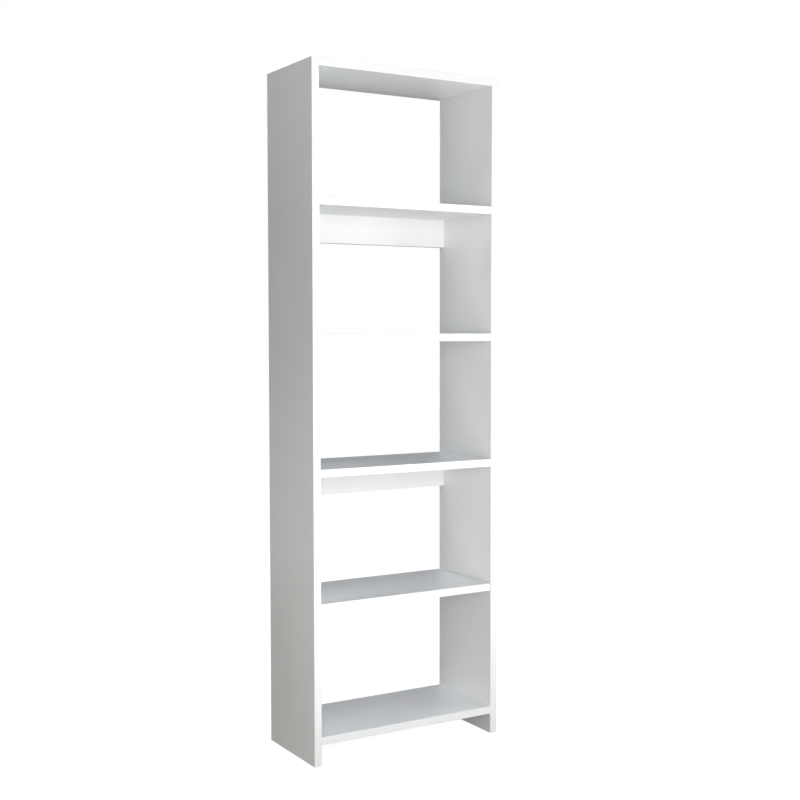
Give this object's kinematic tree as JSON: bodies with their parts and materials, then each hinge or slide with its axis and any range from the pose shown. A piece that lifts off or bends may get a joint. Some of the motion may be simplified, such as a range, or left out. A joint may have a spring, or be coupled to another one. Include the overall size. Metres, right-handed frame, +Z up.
{
  "type": "bookcase",
  "caption": "Tall open-backed bookcase in white melamine board: cam-jointed case with stiffening rails, and adjustable shelves that lift off hidden pins.",
  "frame": {"origin": "on the floor, at the centre of the bookcase's footprint", "axes": "+X to the right as seen from the front, -Y out of the open front, +Z up"},
  "size_m": [0.5, 0.23, 1.586],
  "materials": {
    "melamine_board": "satin",
    "edge_band": "satin",
    "zinc_cam": "satin",
    "steel_bolt": "satin",
    "beech_dowel": "matte",
    "nickel_pin": "satin",
    "cap_plastic": "satin"
  },
  "bodies": {
    "case": {"left_side_panel": "melamine_board", "right_side_panel": "melamine_board", "top_panel": "melamine_board", "bottom_panel": "melamine_board", "upper_fixed_shelf": "melamine_board", "lower_fixed_shelf": "melamine_board", "upper_back_rail": "melamine_board", "lower_back_rail": "melamine_board", "left_side_edge_band": "edge_band", "right_side_edge_band": "edge_band", "top_panel_edge_band": "edge_band", "bottom_panel_edge_band": "edge_band", "upper_fixed_edge_band": "edge_band", "lower_fixed_edge_band": "edge_band", "upper_rail_edge_band": "edge_band", "lower_rail_edge_band": "edge_band", "top_panel_cam_locks": "zinc_cam", "bottom_panel_cam_locks": "zinc_cam", "upper_fixed_cam_locks": "zinc_cam", "lower_fixed_cam_locks": "zinc_cam", "upper_rail_cam_locks": "zinc_cam", "lower_rail_cam_locks": "zinc_cam", "top_panel_cam_bolts": "steel_bolt", "bottom_panel_cam_bolts": "steel_bolt", "upper_fixed_cam_bolts": "steel_bolt", "lower_fixed_cam_bolts": "steel_bolt", "upper_rail_cam_bolts": "steel_bolt", "lower_rail_cam_bolts": "steel_bolt", "top_panel_dowels": "beech_dowel", "bottom_panel_dowels": "beech_dowel", "upper_fixed_dowels": "beech_dowel", "lower_fixed_dowels": "beech_dowel", "upper_rail_dowels": "beech_dowel", "lower_rail_dowels": "beech_dowel", "top_panel_cam_caps": "cap_plastic", "bottom_panel_cam_caps": "cap_plastic", "upper_fixed_cam_caps": "cap_plastic", "lower_fixed_cam_caps": "cap_plastic", "upper_rail_cam_caps": "cap_plastic", "lower_rail_cam_caps": "cap_plastic", "left_side_hole_caps": "cap_plastic", "right_side_hole_caps": "cap_plastic"},
    "upper_shelf": {"upper_adjustable_shelf": "melamine_board", "upper_adjustable_edge_band": "edge_band"},
    "lower_shelf": {"lower_adjustable_shelf": "melamine_board", "lower_adjustable_edge_band": "edge_band"},
    "upper_pin_front_left": {"upper_pin_front_left": "nickel_pin"},
    "upper_pin_front_right": {"upper_pin_front_right": "nickel_pin"},
    "upper_pin_back_left": {"upper_pin_back_left": "nickel_pin"},
    "upper_pin_back_right": {"upper_pin_back_right": "nickel_pin"},
    "lower_pin_front_left": {"lower_pin_front_left": "nickel_pin"},
    "lower_pin_front_right": {"lower_pin_front_right": "nickel_pin"},
    "lower_pin_back_left": {"lower_pin_back_left": "nickel_pin"},
    "lower_pin_back_right": {"lower_pin_back_right": "nickel_pin"}
  },
  "joints": [
    {"name": "upper_shelf_lift", "type": "slide", "parent": "case", "child": "upper_shelf", "axis": [0, 0, 1], "range_m": [0, 0.21]},
    {"name": "lower_shelf_lift", "type": "slide", "parent": "case", "child": "lower_shelf", "axis": [0, 0, 1], "range_m": [0, 0.21]},
    {"name": "upper_pin_front_left_pull", "type": "slide", "parent": "case", "child": "upper_pin_front_left", "axis": [1, 0, 0], "range_m": [0, 0.01]},
    {"name": "upper_pin_front_right_pull", "type": "slide", "parent": "case", "child": "upper_pin_front_right", "axis": [-1, 0, 0], "range_m": [0, 0.01]},
    {"name": "upper_pin_back_left_pull", "type": "slide", "parent": "case", "child": "upper_pin_back_left", "axis": [1, 0, 0], "range_m": [0, 0.01]},
    {"name": "upper_pin_back_right_pull", "type": "slide", "parent": "case", "child": "upper_pin_back_right", "axis": [-1, 0, 0], "range_m": [0, 0.01]},
    {"name": "lower_pin_front_left_pull", "type": "slide", "parent": "case", "child": "lower_pin_front_left", "axis": [1, 0, 0], "range_m": [0, 0.01]},
    {"name": "lower_pin_front_right_pull", "type": "slide", "parent": "case", "child": "lower_pin_front_right", "axis": [-1, 0, 0], "range_m": [0, 0.01]},
    {"name": "lower_pin_back_left_pull", "type": "slide", "parent": "case", "child": "lower_pin_back_left", "axis": [1, 0, 0], "range_m": [0, 0.01]},
    {"name": "lower_pin_back_right_pull", "type": "slide", "parent": "case", "child": "lower_pin_back_right", "axis": [-1, 0, 0], "range_m": [0, 0.01]}
  ]
}
